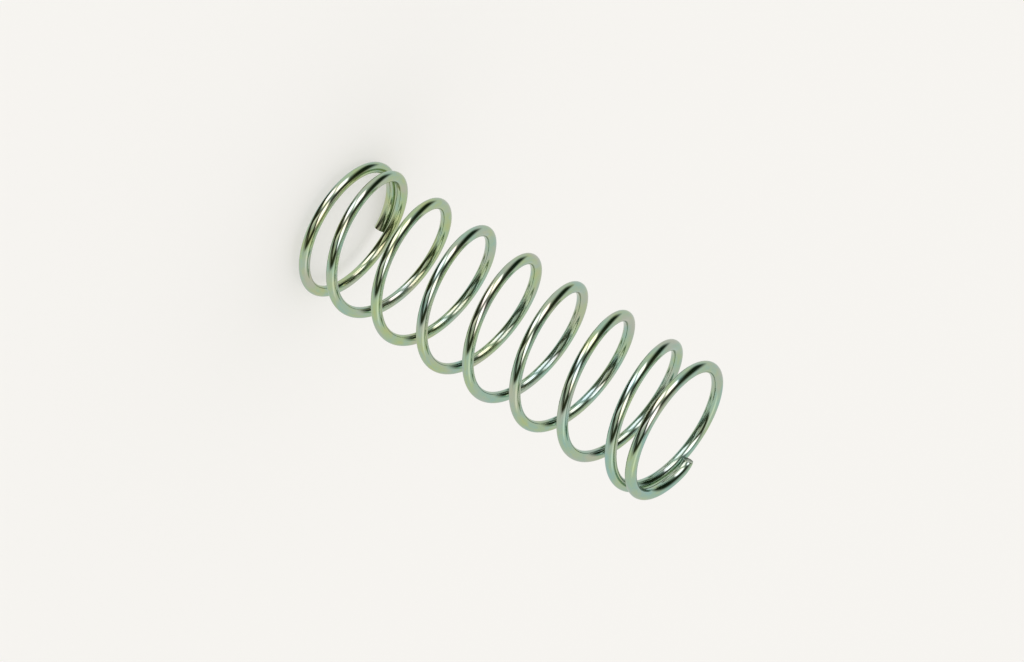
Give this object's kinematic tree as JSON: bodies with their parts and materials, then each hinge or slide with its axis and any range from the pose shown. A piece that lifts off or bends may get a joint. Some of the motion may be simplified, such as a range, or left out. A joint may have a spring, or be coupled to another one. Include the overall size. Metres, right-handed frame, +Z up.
{
  "type": "compression spring",
  "caption": "Small helical compression spring in bright zinc-plated round wire, right-hand wound, with closed ends cut square.",
  "frame": {"origin": "on the axis of the coils, level with the surface that the lower cut end stands on", "axes": "+Z up along the axis of the coils, from the lower closed end to the upper one; +X from the axis through the lower cut end"},
  "size_m": [0.0132, 0.0132, 0.0385],
  "materials": {
    "zinc_plated_wire": "gloss"
  },
  "bodies": {
    "root": {"spring_wire": "zinc_plated_wire"}
  },
  "joints": []
}
